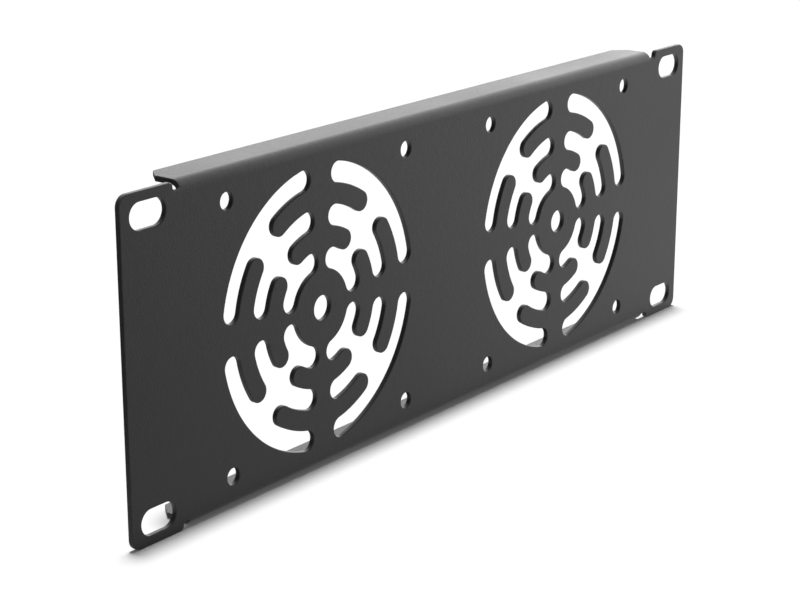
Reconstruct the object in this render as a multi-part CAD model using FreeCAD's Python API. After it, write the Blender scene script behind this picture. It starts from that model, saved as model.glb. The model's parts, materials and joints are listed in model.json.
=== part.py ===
"""Two-fan rack panel for a 10-inch rack, two units high: one folded sheet-steel blank.

Frame, in mm: the origin is the middle of the four rack slots, on the rear face of the sheet, which is the face
that meets the rack rails. +X runs to the right seen from the front, +Y runs back into the rack, and +Z runs up.
"""
import FreeCAD
import Part
import math
import os

# ---- sheet and overall sizes ------------------------------------------------------------------------------------
sheet = 1.5                    # thickness of the steel
panel_width = 255.0            # over the ears
panel_height = 88.1            # a two-unit panel, 0.8 less than the 88.9 it fills
bend_inner_radius = 1.0        # inside radius of both bends

# ---- rack ears --------------------------------------------------------------------------------------------------
ear_width = 17.8               # along X, from the panel's end to the bend relief
rack_pitch_x = 236.525         # between the two columns of rack slots
rack_pitch_z = 76.2            # between the upper and lower slots
rack_slot_length = 12.0        # along X
rack_slot_width = 6.8          # along Z, clears an M6 screw
ear_corner_radius = 3.0        # outer corners of the ears
ear_inner_radius = 1.2         # corners of the ears beside the bend reliefs

# ---- flanges ----------------------------------------------------------------------------------------------------
flange_depth = 12.5            # from the front face to the back edge of a flange
flange_step = 0.15             # a flange's outer face lies this far inside the ears' edges
flange_chamfer_x = 3.6         # the back corners of a flange are cut off, this far along X
flange_chamfer_y = 4.2         # and this far along Y
relief_width = 2.6             # gap between a flange and the ear beside it
relief_depth = 2.05            # of that gap, from the ear's edge in to its root
relief_radius = 0.8            # where the gap's root meets the ear

# ---- fans -------------------------------------------------------------------------------------------------------
fan_spacing = 111.0            # between the two fan axes
fan_hole_pitch = 71.5          # square hole pattern of an 80 mm fan
fan_hole_diameter = 4.5
hub_hole_diameter = 6.7        # in the middle of each grille

# ---- grille -----------------------------------------------------------------------------------------------------
grille_diameter = 77.0         # over the outermost slots
grille_slot = 5.6              # width of each of the three rings of slots
grille_ring = 5.6              # width of the two rings of metal between them
spoke_half_angle = 6.8         # degrees from a spoke's middle to the line that the slot ends touch
channel_half_angle = 7.0       # degrees from a diagonal to the line that the ring tips touch

# ---- sizes that follow ------------------------------------------------------------------------------------------
rear = 0.0
front = rear - sheet
bend_outer_radius = bend_inner_radius + sheet
flange_outer = panel_height / 2 - flange_step
bend_line = flange_outer - bend_outer_radius
flange_back = front + flange_depth
ear_start = panel_width / 2 - ear_width
flange_end = ear_start - relief_width
relief_root = panel_height / 2 - relief_depth
fan_centres = (-fan_spacing / 2, fan_spacing / 2)


def at(x, z, y=front):
    return FreeCAD.Vector(x, y, z)


def arc(start, middle, end):
    return Part.Arc(start, middle, end).toShape()


def line(start, end):
    return Part.LineSegment(start, end).toShape()


def rounded_outline(corners):
    """A closed wire in the front plane through corners (x, z, radius), each rounded by a tangent arc."""
    count = len(corners)
    cut_in = []
    cut_out = []
    middles = []
    for i in range(count):
        x, z, radius = corners[i]
        here = at(x, z)
        back = (at(*corners[i - 1][:2]) - here).normalize()
        ahead = (at(*corners[(i + 1) % count][:2]) - here).normalize()
        half = back.getAngle(ahead) / 2
        reach = radius / math.tan(half)
        bisector = (back + ahead).normalize()
        cut_in.append(here + back * reach)
        cut_out.append(here + ahead * reach)
        middles.append(here + bisector * (radius / math.sin(half) - radius))
    edges = []
    for i in range(count):
        if corners[i][2] > 0:
            edges.append(arc(cut_in[i], middles[i], cut_out[i]))
        edges.append(line(cut_out[i], cut_in[(i + 1) % count]))
    return Part.Wire(edges)


def flat_face():
    """The web and both ears: everything that stays flat, up to the two bend lines."""
    edge_x = panel_width / 2
    edge_z = panel_height / 2
    # the upper right quarter: up from the bend line to the relief's root, across it, and out over the ear
    quarter = [
        (flange_end, bend_line, 0),
        (flange_end, relief_root, 0),
        (ear_start, relief_root, relief_radius),
        (ear_start, edge_z, ear_inner_radius),
        (edge_x, edge_z, ear_corner_radius),
    ]
    corners = quarter + [(x, -z, r) for x, z, r in reversed(quarter)]
    corners += [(-x, -z, r) for x, z, r in quarter] + [(-x, z, r) for x, z, r in reversed(quarter)]
    return Part.Face(rounded_outline(corners)).extrude(FreeCAD.Vector(0, sheet, 0))


def upper_flange():
    """The bend and the leg behind it, with the back corners cut off."""
    turn = math.sqrt(0.5)
    centre_y = front + bend_outer_radius
    outer = flange_outer
    inner = flange_outer - sheet

    def point(y, z):
        return FreeCAD.Vector(-flange_end, y, z)

    outer_start = point(front, bend_line)
    outer_middle = point(centre_y - bend_outer_radius * turn, bend_line + bend_outer_radius * turn)
    outer_end = point(centre_y, outer)
    inner_start = point(rear, bend_line)
    inner_middle = point(centre_y - bend_inner_radius * turn, bend_line + bend_inner_radius * turn)
    inner_end = point(centre_y, inner)
    profile = Part.Wire([
        arc(outer_start, outer_middle, outer_end),
        line(outer_end, point(flange_back, outer)),
        line(point(flange_back, outer), point(flange_back, inner)),
        line(point(flange_back, inner), inner_end),
        arc(inner_end, inner_middle, inner_start),
        line(inner_start, outer_start),
    ])
    flange = Part.Face(profile).extrude(FreeCAD.Vector(2 * flange_end, 0, 0))
    corners = []
    for side in (-1, 1):
        tip = FreeCAD.Vector(side * flange_end, flange_back, bend_line)
        along_x = FreeCAD.Vector(side * (flange_end - flange_chamfer_x), flange_back, bend_line)
        along_y = FreeCAD.Vector(side * flange_end, flange_back - flange_chamfer_y, bend_line)
        triangle = Part.Face(Part.makePolygon([tip, along_x, along_y, tip]))
        corners.append(triangle.extrude(FreeCAD.Vector(0, 0, panel_height)))
    return flange.cut(corners)


def through(face):
    """A cutter that passes through the sheet, from a face drawn in the front plane."""
    cutter = face.extrude(FreeCAD.Vector(0, 3 * sheet, 0))
    cutter.translate(FreeCAD.Vector(0, -sheet, 0))
    return cutter


def round_hole(x, z, diameter):
    circle = Part.Circle(at(x, z), FreeCAD.Vector(0, 1, 0), diameter / 2)
    return through(Part.Face(Part.Wire(circle.toShape())))


def rack_slot(x, z):
    """A slot with full-round ends, long side along X."""
    end = rack_slot_width / 2
    straight = rack_slot_length / 2 - end
    top_left = at(x - straight, z + end)
    top_right = at(x + straight, z + end)
    bottom_right = at(x + straight, z - end)
    bottom_left = at(x - straight, z - end)
    return through(Part.Face(Part.Wire([
        line(top_left, top_right),
        arc(top_right, at(x + straight + end, z), bottom_right),
        line(bottom_right, bottom_left),
        arc(bottom_left, at(x - straight - end, z), top_left),
    ])))


def grille_quarter():
    """One of the four openings of a grille, about the origin, between +X and +Z.

    Three rings of slots share a channel along the diagonal. Two rings of metal reach into it from each side. The
    outline snakes in from the outermost slot to the hub on one side of the diagonal, and is mirrored on the other.
    """
    outermost = grille_diameter / 2
    pitch = grille_slot + grille_ring

    def polar(radius, angle, mirrored):
        angle = math.radians(90 - angle if mirrored else angle)
        return at(radius * math.cos(angle), radius * math.sin(angle))

    def cap(radius, angle, width, outward, mirrored):
        """The full-round end of a slot or a ring: from its outer edge, round the end, to its inner edge."""
        turn = math.degrees(width / 2 / radius)
        tip = outward * turn
        spread = width / 2
        centre = polar(radius, angle, mirrored)
        ahead = polar(radius, angle + tip, mirrored) - centre
        inner = polar(radius - spread, angle, mirrored)
        outer = polar(radius + spread, angle, mirrored)
        across = (outer - inner).normalize()
        along = (ahead - across * ahead.dot(across)).normalize()
        return outer, centre + along * spread, inner

    def side(mirrored):
        """The edges of one half, from the middle of the outermost arc in to the middle of the hub's arc."""
        edges = []
        here = polar(outermost, 45, mirrored)
        radius = outermost
        angle = 45.0
        for ring in range(3):
            slot_middle = outermost - grille_slot / 2 - ring * pitch
            slot_angle = spoke_half_angle + math.degrees(math.asin(grille_slot / 2 / slot_middle))
            outer, end, inner = cap(slot_middle, slot_angle, grille_slot, -1, mirrored)
            edges.append(arc(here, polar(radius, (angle + slot_angle) / 2, mirrored), outer))
            edges.append(arc(outer, end, inner))
            here = inner
            angle = slot_angle
            radius = slot_middle - grille_slot / 2
            if ring < 2:
                ring_middle = radius - grille_ring / 2
                ring_angle = 45 - channel_half_angle - math.degrees(math.asin(grille_ring / 2 / ring_middle))
                outer, end, inner = cap(ring_middle, ring_angle, grille_ring, 1, mirrored)
                edges.append(arc(here, polar(radius, (angle + ring_angle) / 2, mirrored), outer))
                edges.append(arc(outer, end, inner))
                here = inner
                angle = ring_angle
                radius = ring_middle - grille_ring / 2
        edges.append(arc(here, polar(radius, (angle + 45) / 2, mirrored), polar(radius, 45, mirrored)))
        return edges

    edges = side(False) + side(True)
    return through(Part.Face(Part.Wire(Part.__sortEdges__(edges))))


def fan_openings(centre_x):
    """Everything cut for one fan: four grille openings, the hub hole and the four screw holes."""
    cutters = []
    quarter = grille_quarter()
    for turn in range(4):
        opening = quarter.copy()
        opening.rotate(FreeCAD.Vector(0, 0, 0), FreeCAD.Vector(0, 1, 0), 90 * turn)
        opening.translate(FreeCAD.Vector(centre_x, 0, 0))
        cutters.append(opening)
    cutters.append(round_hole(centre_x, 0, hub_hole_diameter))
    for side_x in (-1, 1):
        for side_z in (-1, 1):
            x = centre_x + side_x * fan_hole_pitch / 2
            z = side_z * fan_hole_pitch / 2
            cutters.append(round_hole(x, z, fan_hole_diameter))
    return cutters


def fan_panel():
    upper = upper_flange()
    lower = upper.mirror(FreeCAD.Vector(0, 0, 0), FreeCAD.Vector(0, 0, 1))
    folded = flat_face().fuse([upper, lower]).removeSplitter()
    cutters = []
    for side_x in (-1, 1):
        for side_z in (-1, 1):
            cutters.append(rack_slot(side_x * rack_pitch_x / 2, side_z * rack_pitch_z / 2))
    for centre_x in fan_centres:
        cutters += fan_openings(centre_x)
    panel = folded.cut(cutters).removeSplitter()
    return panel.Solids[0]


os.makedirs("parts", exist_ok=True)
panel = fan_panel()
panel.exportStep("parts/fan_panel.step")
box = panel.BoundBox
print("valid", panel.isValid(), "volume", round(panel.Volume, 1), "faces", len(panel.Faces))
print("box", [round(v, 3) for v in (box.XMin, box.XMax, box.YMin, box.YMax, box.ZMin, box.ZMax)])
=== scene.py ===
"""Two-fan rack panel: one folded, powder-coated steel blank, standing on a pale floor."""

import json  # noqa: E402
import math  # noqa: E402

import bmesh  # noqa: E402
import bpy  # noqa: E402
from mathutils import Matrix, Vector  # noqa: E402


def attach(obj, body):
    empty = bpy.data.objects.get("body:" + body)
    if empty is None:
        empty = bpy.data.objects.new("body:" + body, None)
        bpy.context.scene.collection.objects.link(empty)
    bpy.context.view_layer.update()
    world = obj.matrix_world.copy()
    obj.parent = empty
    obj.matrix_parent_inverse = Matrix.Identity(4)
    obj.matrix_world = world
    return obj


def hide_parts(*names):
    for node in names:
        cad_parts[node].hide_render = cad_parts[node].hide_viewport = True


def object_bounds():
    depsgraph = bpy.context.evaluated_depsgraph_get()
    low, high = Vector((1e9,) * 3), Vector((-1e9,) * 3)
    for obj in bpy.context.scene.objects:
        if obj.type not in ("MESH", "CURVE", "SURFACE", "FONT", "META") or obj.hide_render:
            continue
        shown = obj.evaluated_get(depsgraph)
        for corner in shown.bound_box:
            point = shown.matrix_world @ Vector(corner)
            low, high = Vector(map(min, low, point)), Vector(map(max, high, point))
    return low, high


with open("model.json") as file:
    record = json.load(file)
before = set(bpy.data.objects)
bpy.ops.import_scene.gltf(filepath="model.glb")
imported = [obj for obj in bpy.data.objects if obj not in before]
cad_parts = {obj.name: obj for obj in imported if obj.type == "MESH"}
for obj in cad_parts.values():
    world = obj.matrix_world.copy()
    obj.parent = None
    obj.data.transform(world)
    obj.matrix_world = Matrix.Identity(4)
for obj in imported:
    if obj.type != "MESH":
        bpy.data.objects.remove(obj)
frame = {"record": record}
cad_low, cad_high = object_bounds()
mounts = {mount["name"]: mount for mount in frame["record"]["mounts"]}
mm = 0.001

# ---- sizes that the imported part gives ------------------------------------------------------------
front_y = cad_low.y
rear_y = mounts["rear_face"]["pos_m"][1]
flange_back_y = cad_high.y
floor_z = cad_low.z
sheet = rear_y - front_y
half_width = cad_high.x
half_height = cad_high.z

rack = mounts["rack_slots"]["dims"]
fan = mounts["fan_holes_right"]["dims"]
fan_spacing = 2 * mounts["fan_holes_right"]["pos_m"][0]
rack_slot_length = rack["slot_length_mm"] * mm
rack_slot_width = 2 * rack["hole_r_mm"] * mm
fan_hole_radius = fan["hole_r_mm"] * mm

# ---- the panel's other sizes ---------------------------------------------------------------------
bend_inner_radius = 1.5 * mm   # a rounder bend than the plain solid has
flange_step = 0.15 * mm        # a flange's outer face lies this far inside the ears' edges
ear_width = 17.8 * mm
relief_width = 2.6 * mm        # gap between a flange and the ear beside it
relief_depth = 2.05 * mm
relief_radius = 0.8 * mm
ear_corner_radius = 3.0 * mm
ear_inner_radius = 1.2 * mm
flange_chamfer_x = 3.6 * mm
flange_chamfer_y = 4.2 * mm
flange_corner_radius = 0.6 * mm
hub_hole_radius = 3.35 * mm
grille_radius = 38.5 * mm
slot_rings = 3                 # rings of slots in a grille, with a ring of metal between each two
grille_slot = 5.6 * mm
grille_ring = 5.6 * mm
spoke_half_angle = math.radians(6.8)
channel_half_angle = math.radians(7.0)

# ---- how finely the coated edges and bends are drawn ---------------------------------------------
edge_radius = 0.22 * mm        # the coat rounds every cut edge
edge_steps = 3
edge_apron = 0.18 * mm         # flat strip beside a rounded edge, so that the wide faces stay flat
arc_sag = 0.005 * mm           # how far a drawn arc may cut inside the true one
bend_steps = 10
bend_apron = 0.3 * mm          # flat strip beside a bend
same_point = 1e-7              # points nearer than this are one, and points this near a cut are on it
face_weld = 2e-6               # joins the faces to the cut walls
fold_weld = 1e-6               # joins what the cuts across the blank leave double

# ---- sizes that follow ---------------------------------------------------------------------------
bend_outer_radius = bend_inner_radius + sheet
flange_outer_z = half_height - flange_step
bend_line = flange_outer_z - bend_outer_radius
bend_length = bend_outer_radius * math.pi / 2
bend_end = bend_line + bend_length
flange_edge = bend_end + flange_back_y - (front_y + bend_outer_radius)
ear_start = half_width - ear_width
flange_end = ear_start - relief_width
relief_root = half_height - relief_depth


# ---- outlines of the flat blank, in metres, as closed rings of points ----------------------------
def arc_points(centre, radius, start, sweep):
    """Points round part of a circle, both ends included."""
    chord = math.sqrt(8 * radius * arc_sag)
    count = max(3, math.ceil(abs(sweep) * radius / chord))
    angles = [start + sweep * i / count for i in range(count + 1)]
    return [centre + radius * Vector((math.cos(a), math.sin(a))) for a in angles]


def rounded_corners(corners):
    """A closed ring through (x, y, radius) corners, each turned by an arc that both its sides touch."""
    ring = []
    for i, (x, y, radius) in enumerate(corners):
        here = Vector((x, y))
        back = (Vector(corners[i - 1][:2]) - here).normalized()
        ahead = (Vector(corners[(i + 1) % len(corners)][:2]) - here).normalized()
        half = back.angle(ahead) / 2
        centre = here + (back + ahead).normalized() * radius / math.sin(half)
        first = here + back * radius / math.tan(half) - centre
        last = here + ahead * radius / math.tan(half) - centre
        start = math.atan2(first.y, first.x)
        sweep = (math.atan2(last.y, last.x) - start + math.pi) % (2 * math.pi) - math.pi
        ring += arc_points(centre, radius, start, sweep)
    return ring


def wound(ring, clockwise):
    """The ring in the asked direction. The blank goes round one way and its openings the other.

    That keeps the metal on the right of every outline.
    """
    area = sum(a.x * b.y - b.x * a.y for a, b in zip(ring, ring[1:] + ring[:1]))
    spaced = [p for p, q in zip(ring, ring[-1:] + ring[:-1]) if (p - q).length > same_point]
    return spaced[::-1] if (area < 0) != clockwise else spaced


def blank_outline():
    """The whole blank laid flat, flanges unrolled. Distance up the sheet is that on its front face."""
    quarter = [
        (flange_end - flange_chamfer_x, flange_edge, flange_corner_radius),
        (flange_end, flange_edge - flange_chamfer_y, flange_corner_radius),
        (flange_end, relief_root, relief_radius),
        (ear_start, relief_root, relief_radius),
        (ear_start, half_height, ear_inner_radius),
        (half_width, half_height, ear_corner_radius),
    ]
    turned = quarter[::-1]
    return rounded_corners(
        quarter
        + [(x, -y, r) for x, y, r in turned]
        + [(-x, -y, r) for x, y, r in quarter]
        + [(-x, y, r) for x, y, r in turned]
    )


def rack_slot_outline():
    """A slot with full-round ends."""
    end = rack_slot_width / 2
    straight = rack_slot_length / 2 - end
    right = arc_points(Vector((straight, 0)), end, -math.pi / 2, math.pi)
    left = arc_points(Vector((-straight, 0)), end, math.pi / 2, math.pi)
    return right + left


def grille_quarter_outline():
    """One slot of each ring, joined by a channel along the diagonal, with ring tips reaching into it."""

    def round_end(middle, angle, half, way):
        """Round the end of a slot or a ring, from its outer edge to its inner. way is -1 for a slot."""
        centre = middle * Vector((math.cos(angle), math.sin(angle)))
        return arc_points(centre, half, angle, way * math.pi)

    half_side = []
    hub = Vector((0, 0))
    diagonal = math.pi / 4
    radius = grille_radius
    angle = diagonal
    pitch = grille_slot + grille_ring
    for ring in range(slot_rings):
        slot_middle = grille_radius - grille_slot / 2 - ring * pitch
        slot_angle = spoke_half_angle + math.asin(grille_slot / 2 / slot_middle)
        half_side += arc_points(hub, radius, angle, slot_angle - angle)
        half_side += round_end(slot_middle, slot_angle, grille_slot / 2, -1)
        radius = slot_middle - grille_slot / 2
        angle = slot_angle
        if ring < slot_rings - 1:
            ring_middle = radius - grille_ring / 2
            ring_angle = diagonal - channel_half_angle - math.asin(grille_ring / 2 / ring_middle)
            half_side += arc_points(hub, radius, angle, ring_angle - angle)
            half_side += round_end(ring_middle, ring_angle, grille_ring / 2, 1)
            radius = ring_middle - grille_ring / 2
            angle = ring_angle
    half_side += arc_points(hub, radius, angle, diagonal - angle)
    return half_side + [Vector((p.y, p.x)) for p in reversed(half_side)]


def hole_outline(radius):
    return arc_points(Vector((0, 0)), radius, 0, 2 * math.pi)


def edge_profile():
    """The cut edge of the sheet from rear to front: x goes into the metal, y down from the front."""
    turns = [math.pi / 2 * i / edge_steps for i in range(edge_steps + 1)]
    rounding = [Vector((1 - math.sin(t), 1 - math.cos(t))) * edge_radius for t in turns]
    front_half = [Vector((edge_radius + edge_apron, 0))] + rounding
    return [Vector((p.x, sheet - p.y)) for p in front_half] + front_half[::-1]


# ---- one socket with arithmetic, for geometry and for shaders ------------------------------------
class Signal:
    """A node tree's socket. Arithmetic on it adds Math nodes, and node() adds any other kind of node."""

    def __init__(self, tree, socket=None):
        self.tree = tree
        self.socket = socket

    def node(self, kind, settings=None, inputs=None, output=0):
        made = self.tree.nodes.new(kind)
        for name, value in (settings or {}).items():
            setattr(made, name, value)
        for name, value in (inputs or {}).items():
            for part in value if isinstance(value, list) else [value]:
                if isinstance(part, Signal):
                    self.tree.links.new(part.socket, made.inputs[name])
                else:
                    made.inputs[name].default_value = part
        return Signal(self.tree, made.outputs[output])

    def feeds(self, kind, socket):
        """Adds the node that a tree ends in, and links this socket to it."""
        end = self.tree.nodes.new(kind)
        self.tree.links.new(self.socket, end.inputs[socket])

    def math(self, operation, first, second=0.0):
        return self.node("ShaderNodeMath", {"operation": operation}, {0: first, 1: second})

    def along(self, way):
        """How far this vector reaches in one direction."""
        dot_product = {"operation": "DOT_PRODUCT"}
        return self.node("ShaderNodeVectorMath", dot_product, {0: self, 1: way}, output="Value")

    def ramp(self, span, start=0.0, end=1.0, shape="LINEAR"):
        """Goes from start to end as this value crosses span, and stays level outside it."""
        ends = {"Value": self, 1: span[0], 2: span[1], 3: start, 4: end}
        return self.node("ShaderNodeMapRange", {"interpolation_type": shape}, ends)

    def tint(self, low, high):
        """The colour low where this value is 0, high where it is 1, and a mix of them between."""
        return self.node("ShaderNodeMix", {"data_type": "RGBA"}, {0: self, 6: low, 7: high}, output=2)

    def __add__(self, other):
        return self.math("ADD", self, other)

    def __sub__(self, other):
        return self.math("SUBTRACT", self, other)

    def __rsub__(self, other):
        return self.math("SUBTRACT", other, self)

    def __mul__(self, other):
        return self.math("MULTIPLY", self, other)

    def __neg__(self):
        return self.math("MULTIPLY", self, -1.0)

    __radd__ = __add__
    __rmul__ = __mul__


def empty_nodes(owner):
    """Clears the nodes of a material or a world, and gives a Signal to start new ones from."""
    owner.use_nodes = True
    owner.node_tree.nodes.clear()
    return Signal(owner.node_tree)


# ---- the blank, cut flat -------------------------------------------------------------------------
OUTLINES = ["blank", "rack slot", "fan hole", "hub hole", "grille quarter", "edge profile"]


def drawing():
    """One curve object that holds each outline once, in the order of OUTLINES."""
    rings = [
        (wound(blank_outline(), True), True),
        (wound(rack_slot_outline(), False), True),
        (wound(hole_outline(fan_hole_radius), False), True),
        (wound(hole_outline(hub_hole_radius), False), True),
        (wound(grille_quarter_outline(), False), True),
        (edge_profile(), False),
    ]
    curve = bpy.data.curves.new("blank_drawing", "CURVE")
    curve.dimensions = "3D"
    for points, closed in rings:
        spline = curve.splines.new("POLY")
        spline.points.add(len(points) - 1)
        for spot, point in zip(spline.points, points):
            spot.co = (point.x, point.y, 0, 1)
        spline.use_cyclic_u = closed
    drawn = bpy.data.objects.new("blank_drawing", curve)
    bpy.context.scene.collection.objects.link(drawn)
    return drawn


def cutting_tree():
    """Lays out the repeated openings, sweeps the edge profile round every outline, and fills both faces."""
    tree = bpy.data.node_groups.new("cut_blank", "GeometryNodeTree")
    face = tree.interface
    face.new_socket("Geometry", in_out="INPUT", socket_type="NodeSocketGeometry")
    for name in ("Rack pitch X", "Rack pitch Z", "Fan spacing", "Fan hole pitch", "Sheet", "Edge inset"):
        face.new_socket(name, in_out="INPUT", socket_type="NodeSocketFloat")
    face.new_socket("Finish", in_out="INPUT", socket_type="NodeSocketMaterial")
    face.new_socket("Geometry", in_out="OUTPUT", socket_type="NodeSocketGeometry")
    start = Signal(tree)
    given = tree.nodes.new("NodeGroupInput")
    asked = {socket.name: Signal(tree, socket) for socket in given.outputs if socket.name}
    index = start.node("GeometryNodeInputIndex")

    def outline(name):
        mine = start.node(
            "FunctionNodeCompare",
            {"data_type": "INT", "operation": "EQUAL"},
            {2: index, 3: OUTLINES.index(name)},
        )
        return start.node(
            "GeometryNodeSeparateGeometry",
            {"domain": "CURVE"},
            {"Geometry": asked["Geometry"], "Selection": mine},
        )

    def vector(x=0.0, y=0.0, z=0.0):
        return start.node("ShaderNodeCombineXYZ", None, {"X": x, "Y": y, "Z": z})

    def corners(size_x, size_y):
        return start.node(
            "GeometryNodeMeshGrid",
            None,
            {"Size X": size_x, "Size Y": size_y, "Vertices X": 2, "Vertices Y": 2},
        )

    def repeat(what, points, rotation=(0.0, 0.0, 0.0)):
        return start.node(
            "GeometryNodeInstanceOnPoints",
            None,
            {"Points": points, "Instance": what, "Rotation": rotation},
        )

    def join(parts):
        return start.node("GeometryNodeJoinGeometry", None, {"Geometry": parts})

    def line(count, first, step):
        return start.node(
            "GeometryNodeMeshLine",
            None,
            {"Count": count, "Start Location": first, "Offset": step},
        )

    quarter_turn = vector(z=index * (math.pi / 2))
    four_at_hub = line(4, (0.0, 0.0, 0.0), (0.0, 0.0, 0.0))
    one_fan = join([
        repeat(outline("grille quarter"), four_at_hub, quarter_turn),
        repeat(outline("fan hole"), corners(asked["Fan hole pitch"], asked["Fan hole pitch"])),
        outline("hub hole"),
    ])
    fan_centres = line(2, vector(x=asked["Fan spacing"] * -0.5), vector(x=asked["Fan spacing"]))
    laid_out = join([
        outline("blank"),
        repeat(outline("rack slot"), corners(asked["Rack pitch X"], asked["Rack pitch Z"])),
        repeat(one_fan, fan_centres),
    ])
    outlines = start.node("GeometryNodeRealizeInstances", None, {"Geometry": laid_out})
    outlines = start.node("GeometryNodeSetCurveNormal", {"mode": "Z_UP"}, {"Curve": outlines})
    walls = start.node(
        "GeometryNodeCurveToMesh", None, {"Curve": outlines, "Profile Curve": outline("edge profile")}
    )
    across = start.node("GeometryNodeInputNormal")
    inset = start.node(
        "ShaderNodeVectorMath", {"operation": "SCALE"}, {0: across, "Scale": asked["Edge inset"]}
    )
    inner = start.node("GeometryNodeSetPosition", None, {"Geometry": outlines, "Offset": inset})
    front = start.node("GeometryNodeFillCurve", None, {"Curve": inner})
    to_rear = vector(z=-asked["Sheet"])
    behind = start.node("GeometryNodeTransform", None, {"Geometry": front, "Translation": to_rear})
    rear = start.node("GeometryNodeFlipFaces", None, {"Mesh": behind})
    all_sides = join([front, rear, walls])
    joined = start.node(
        "GeometryNodeMergeByDistance", None, {"Geometry": all_sides, "Distance": face_weld}
    )
    smooth = start.node("GeometryNodeSetShadeSmooth", None, {"Geometry": joined, "Shade Smooth": True})
    plain = start.node("GeometryNodeRealizeInstances", None, {"Geometry": smooth})
    coated = start.node("GeometryNodeSetMaterial", None, {"Geometry": plain, "Material": asked["Finish"]})
    coated.feeds("NodeGroupOutput", 0)
    return tree


def cut_blank(finish):
    """The flat blank as a mesh, with all its openings and its coated edges."""
    drawn = drawing()
    tree = cutting_tree()
    wanted = {
        "Rack pitch X": rack["spacing_x_mm"] * mm,
        "Rack pitch Z": rack["spacing_y_mm"] * mm,
        "Fan spacing": fan_spacing,
        "Fan hole pitch": fan["spacing_x_mm"] * mm,
        "Sheet": sheet,
        "Edge inset": edge_radius + edge_apron,
        "Finish": finish,
    }
    cutting = drawn.modifiers.new("cut_blank", "NODES")
    cutting.node_group = tree
    for item in tree.interface.items_tree:
        if item.in_out == "INPUT" and item.name in wanted:
            cutting[item.identifier] = wanted[item.name]
    bpy.context.view_layer.update()
    graph = bpy.context.evaluated_depsgraph_get()
    mesh = bpy.data.meshes.new_from_object(drawn.evaluated_get(graph))
    drawn.modifiers.remove(cutting)
    bpy.data.objects.remove(drawn)
    return mesh


# ---- folding -------------------------------------------------------------------------------------
def folded_place(flat):
    """Where a point of the flat blank ends up, in the frame of the part. flat.z is 0 on the front face."""
    depth = -flat.z
    unfolded = Vector((flat.x, front_y + depth, flat.y))
    along = abs(flat.y)
    rolled = min(1, max(0, (ear_start - abs(flat.x)) / relief_width))
    if along <= bend_line or rolled == 0:
        return unfolded
    turn = min(along - bend_line, bend_length) / bend_outer_radius
    radius = bend_outer_radius - depth
    back = front_y + bend_outer_radius - radius * math.cos(turn) + max(0, along - bend_end)
    height = math.copysign(bend_line + radius * math.sin(turn), flat.y)
    return unfolded.lerp(Vector((flat.x, back, height)), rolled)


def on_rounding(depth):
    """True between the flat faces and the straight part of a cut edge."""
    reach = min(depth, sheet - depth) / edge_radius
    return 0.01 < reach < 0.99


def fold(mesh):
    """Cuts the blank at each step of both bends, rolls the flanges back, and marks the rounded edges."""
    rows = [bend_line - bend_apron, bend_end + bend_apron]
    rows += [bend_line + bend_length * i / bend_steps for i in range(bend_steps + 1)]
    shape = bmesh.new()
    shape.from_mesh(mesh)
    cuts = [(Vector((0, row, 0)), Vector((0, 1, 0))) for row in rows]
    cuts += [(Vector((column, 0, 0)), Vector((1, 0, 0))) for column in (flange_end, ear_start)]
    for place, way in cuts:
        for side in (-1, 1):
            everything = shape.verts[:] + shape.edges[:] + shape.faces[:]
            bmesh.ops.bisect_plane(
                shape, geom=everything, dist=same_point, plane_co=side * place, plane_no=way
            )
    bmesh.ops.triangulate(shape, faces=[f for f in shape.faces if len(f.verts) > 4])
    bmesh.ops.remove_doubles(shape, verts=shape.verts, dist=fold_weld)
    rim = shape.verts.layers.float.new("rim")
    for vert in shape.verts:
        vert[rim] = 1.0 if on_rounding(-vert.co.z) else 0.0
        vert.co = folded_place(vert.co)
    bmesh.ops.recalc_face_normals(shape, faces=shape.faces)
    for face in shape.faces:
        face.smooth = True
    shape.to_mesh(mesh)
    shape.free()
    mesh.name = "folded_panel"


# ---- the coat ------------------------------------------------------------------------------------
pebble_size = 0.5 * mm
pebble_height = 0.08 * mm
swell_size = 2.2 * mm
swell_share = 0.5              # a swell's height, as a share of a pebble's
cloud_size = 38 * mm
scuff_size = 5 * mm
scuff_span = (0.42, 0.68)      # mottle that leaves an edge unscuffed, and that scuffs it fully
coat_dark = (0.007, 0.007, 0.0072, 1)
coat_light = (0.036, 0.036, 0.0367, 1)
coat_rubbed = (0.09, 0.09, 0.092, 1)
rubbed_share = 0.35            # how far a full scuff goes towards the rubbed colour
coat_dullness = 0.38           # the coat's middle roughness
cloud_dulling = 0.16
pebble_dulling = 0.14
scuff_shine = 0.08
coat_ior = 1.5


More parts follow.
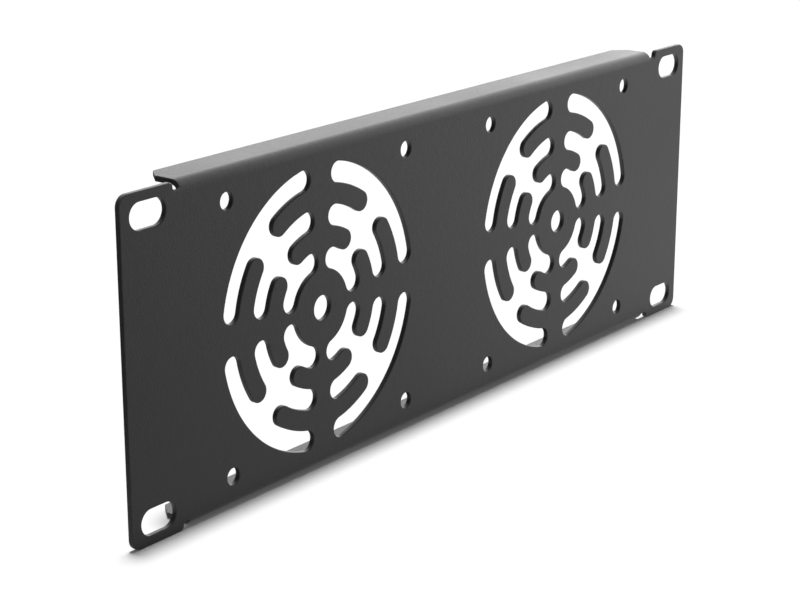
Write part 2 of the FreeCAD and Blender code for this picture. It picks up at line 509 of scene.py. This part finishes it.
def powder_coat():
    """Fine-textured charcoal powder: pebbled, faintly cloudy, a little rubbed along its rounded edges."""
    coat = bpy.data.materials.new("charcoal_powder_coat")
    start = empty_nodes(coat)
    place = start.node("ShaderNodeTexCoord", output="Object")

    def mottle(size, detail=2.0, roughness=0.5):
        return start.node(
            "ShaderNodeTexNoise",
            None,
            {"Vector": place, "Scale": 1 / size, "Detail": detail, "Roughness": roughness},
        )

    pebbles = mottle(pebble_size, 3.0, 0.6)
    swells = mottle(swell_size)
    clouds = mottle(cloud_size, 3.0)
    edges = start.node("ShaderNodeAttribute", {"attribute_name": "rim"}, output="Fac")
    rubbed = edges * mottle(scuff_size, 4.0, 0.7).ramp(scuff_span)
    tone = (pebbles * 0.5 + clouds * 0.5).tint(coat_dark, coat_light)
    tone = (rubbed * rubbed_share).tint(tone, coat_rubbed)
    dullness = coat_dullness + (clouds - 0.5) * cloud_dulling + (pebbles - 0.5) * pebble_dulling
    dullness = dullness - rubbed * scuff_shine
    grain = start.node(
        "ShaderNodeBump",
        None,
        {"Strength": 1.0, "Distance": pebble_height, "Height": pebbles + swells * swell_share},
    )
    skin = start.node(
        "ShaderNodeBsdfPrincipled",
        None,
        {"Base Color": tone, "Roughness": dullness, "Normal": grain, "IOR": coat_ior},
    )
    skin.feeds("ShaderNodeOutputMaterial", "Surface")
    return coat


# ---- the panel -----------------------------------------------------------------------------------
def fan_panel():
    coat = powder_coat()
    mesh = cut_blank(coat)
    mesh.materials.clear()
    mesh.materials.append(coat)
    fold(mesh)
    for face in mesh.polygons:
        face.material_index = 0
    panel = bpy.data.objects.new("folded_panel", mesh)
    bpy.context.scene.collection.objects.link(panel)
    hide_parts("fan_panel")
    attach(panel, "root")


# ---- studio: directions are in the part's frame, x to its right and y to its back ----------------
white = (1, 1, 1, 1)

overhead_energy = 2.85
overhead_angle = math.radians(6.4)     # the lamp's width in the sky, which softens the shadow's edge
overhead_lean = (math.radians(-2.15), math.radians(2.5), 0)
room_light = 0.12                      # soft light from all round

# what a glossy coat sees of the room
room_gleam = 0.2                       # the walls
backdrop_way = (0.6, 0.8, 0.0)         # a broad bright backdrop, behind and to the right
backdrop_glow = 2.17
backdrop_fall = 2.0                    # how fast its glow dies away to the sides
side_span = (0.75, 0.95)               # over this x of a direction, a lit screen at the far right comes in
side_glow = 2.2
card_way = (-0.7, 0.7, 0.0)            # a dark card, behind and to the left
card_span = (0.25, 0.8)                # over this reach of a direction towards it, it comes in
card_level = 0.1

# what a glossy coat sees of the floor: a painted reflection, with painted light and painted shade
floor_painted_light_way = (0.866, 0.5, 0.0)          # painted light: the reflected floor is painted brighter in this direction
floor_painted_light_span = (-0.153, 0.153)           # over these metres
floor_painted_dim = 0.42
floor_painted_bright = 1.0
floor_painted_shade_span = (0.07, 0.16)         # and a painted shade, standing for the dark card, darkens it over these, in the card's direction
floor_painted_shade_level = 0.15
floor_painted_glow_share = 0.5                 # half of what is seen is a painted glow; the other half keeps the panel's shadow

# the floor itself
floor_half = 6.0
fibre_scale = 900.0
paper_dark = (0.95, 0.95, 0.95, 1)
paper_light = (0.99, 0.99, 0.99, 1)
floor_lift = 0.045                     # takes the lit floor up to the white of the backdrop

# the camera
sensor_width = 36
lens_length = 91.979
clip_near = 0.01
clip_far = 50
camera_place = Vector((-446.075, -326.549, 157.224)) * mm
camera_aim = Vector((-22.488, -1.5, -6.780)) * mm


def pale_paper():
    """Matt white to look at. The coat's gloss sees a painted reflection of it, painted dimmer to the left,
    and half of it a painted glow without shadow.
    """
    paper = bpy.data.materials.new("pale_paper")
    start = empty_nodes(paper)
    place = start.node("ShaderNodeTexCoord", output="Object")
    fibres = start.node("ShaderNodeTexNoise", None, {"Vector": place, "Scale": fibre_scale, "Detail": 2.0})
    matt = start.node("ShaderNodeBsdfDiffuse", None, {"Color": fibres.tint(paper_dark, paper_light)})
    # painted light and shade for reflections only: brighter to the right and behind, darker towards the
    # left behind
    level = place.along(floor_painted_light_way).ramp(floor_painted_light_span, floor_painted_dim, floor_painted_bright)
    level = level * place.along(card_way).ramp(floor_painted_shade_span, 1.0, floor_painted_shade_level)
    # painted reflection: half a painted tone that the lamps light, half a painted glow, though the floor is
    # no lamp
    painted_tone_paper = start.node("ShaderNodeBsdfDiffuse", None, {"Color": level})
    painted_glow = start.node("ShaderNodeEmission", None, {"Color": white, "Strength": level})
    painted_reflection = start.node("ShaderNodeMixShader", None, {0: floor_painted_glow_share, 1: painted_tone_paper, 2: painted_glow})
    glossy = start.node("ShaderNodeLightPath", output="Is Glossy Ray")
    looked_at = start.node("ShaderNodeLightPath", output="Is Camera Ray")
    lift = start.node("ShaderNodeEmission", None, {"Color": white, "Strength": looked_at * floor_lift})
    bright = start.node("ShaderNodeAddShader", None, {0: matt, 1: lift})
    either = start.node("ShaderNodeMixShader", None, {0: glossy, 1: bright, 2: painted_reflection})
    either.feeds("ShaderNodeOutputMaterial", "Surface")
    return paper


def studio_floor():
    """A wide matt floor that the two ears stand on."""
    mesh = bpy.data.meshes.new("floor")
    quarters = [(-1, -1), (1, -1), (1, 1), (-1, 1)]
    corners = [(x * floor_half, y * floor_half, floor_z) for x, y in quarters]
    mesh.from_pydata(corners, [], [(0, 1, 2, 3)])
    mesh.materials.append(pale_paper())
    floor = bpy.data.objects.new("floor", mesh)
    bpy.context.scene.collection.objects.link(floor)


def studio_world():
    """White to look at. The coat's gloss sees a dim room with a backdrop, a lit screen and a dark card."""
    world = bpy.data.worlds.new("studio")
    bpy.context.scene.world = world
    start = empty_nodes(world)
    seen = start.math(
        "MAXIMUM",
        start.node("ShaderNodeLightPath", output="Is Camera Ray"),
        start.node("ShaderNodeLightPath", output="Is Transmission Ray"),
    )
    way = start.node("ShaderNodeTexCoord", output="Generated")
    right = start.node("ShaderNodeSeparateXYZ", None, {0: way}, output="X")
    backdrop = start.math("EXPONENT", (way.along(backdrop_way) - 1.0) * backdrop_fall)
    side = right.ramp(side_span, shape="SMOOTHSTEP")
    glow = backdrop * backdrop_glow + side * side_glow + room_gleam
    glow = glow * way.along(card_way).ramp(card_span, 1.0, card_level)
    glossy = start.node("ShaderNodeLightPath", output="Is Glossy Ray")
    level = glossy * glow + (1.0 - glossy) * room_light
    room = start.node("ShaderNodeBackground", None, {"Color": white, "Strength": level})
    white_wall = start.node("ShaderNodeBackground", None, {"Color": white, "Strength": 1.0})
    both = start.node("ShaderNodeMixShader", None, {0: seen, 1: room, 2: white_wall})
    both.feeds("ShaderNodeOutputWorld", "Surface")


def overhead_light():
    """A soft lamp almost straight above and a little behind, which keeps the shadow near the panel."""
    lamp = bpy.data.lights.new("overhead", "SUN")
    lamp.energy = overhead_energy
    lamp.angle = overhead_angle
    light = bpy.data.objects.new("overhead", lamp)
    light.rotation_euler = overhead_lean
    light.visible_glossy = False
    bpy.context.scene.collection.objects.link(light)


def camera():
    lens = bpy.data.cameras.new("camera")
    lens.sensor_width = sensor_width
    lens.lens = lens_length
    lens.clip_start = clip_near
    lens.clip_end = clip_far
    stand = bpy.data.objects.new("camera", lens)
    stand.location = camera_place
    stand.rotation_mode = "QUATERNION"
    stand.rotation_quaternion = (camera_aim - camera_place).to_track_quat("-Z", "Y")
    bpy.context.scene.collection.objects.link(stand)
    bpy.context.scene.camera = stand


fan_panel()
studio_floor()
studio_world()
overhead_light()
camera()
bpy.context.scene.view_settings.view_transform = "Standard"
